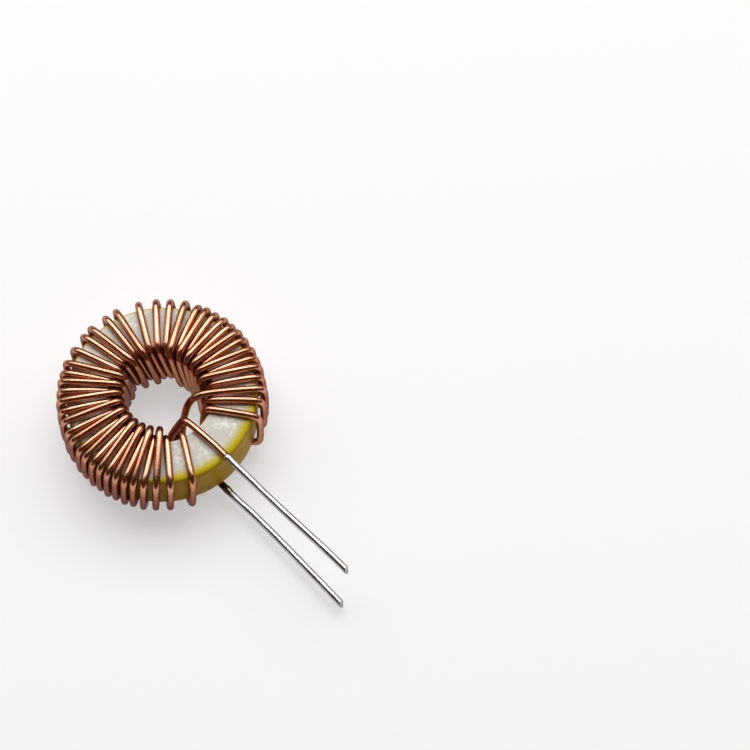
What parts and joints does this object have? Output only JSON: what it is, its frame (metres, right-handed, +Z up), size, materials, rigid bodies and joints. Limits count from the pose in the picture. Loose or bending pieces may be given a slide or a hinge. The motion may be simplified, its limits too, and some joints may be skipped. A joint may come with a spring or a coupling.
{
  "type": "toroidal inductor",
  "caption": "Ring-shaped power inductor: enamelled copper wire wound round a painted iron-powder core, with tinned wire leads leaving side by side for soldering.",
  "frame": {"origin": "on the ring's axis, at the plane that the undersides of the lowest wires rest on", "axes": "+Z up along the ring's axis, +X along the two leads, away from the ring"},
  "size_m": [0.0352, 0.0198, 0.0082],
  "materials": {
    "core_paint": "semi-gloss epoxy paint, yellow with one white face",
    "enamelled_copper": "clear gloss enamel over drawn copper",
    "solder": "bright dipped solder"
  },
  "bodies": {
    "root": {"core": "core_paint", "winding": "enamelled_copper", "upper_lead_tinning": "solder", "lower_lead_tinning": "solder"}
  },
  "joints": []
}
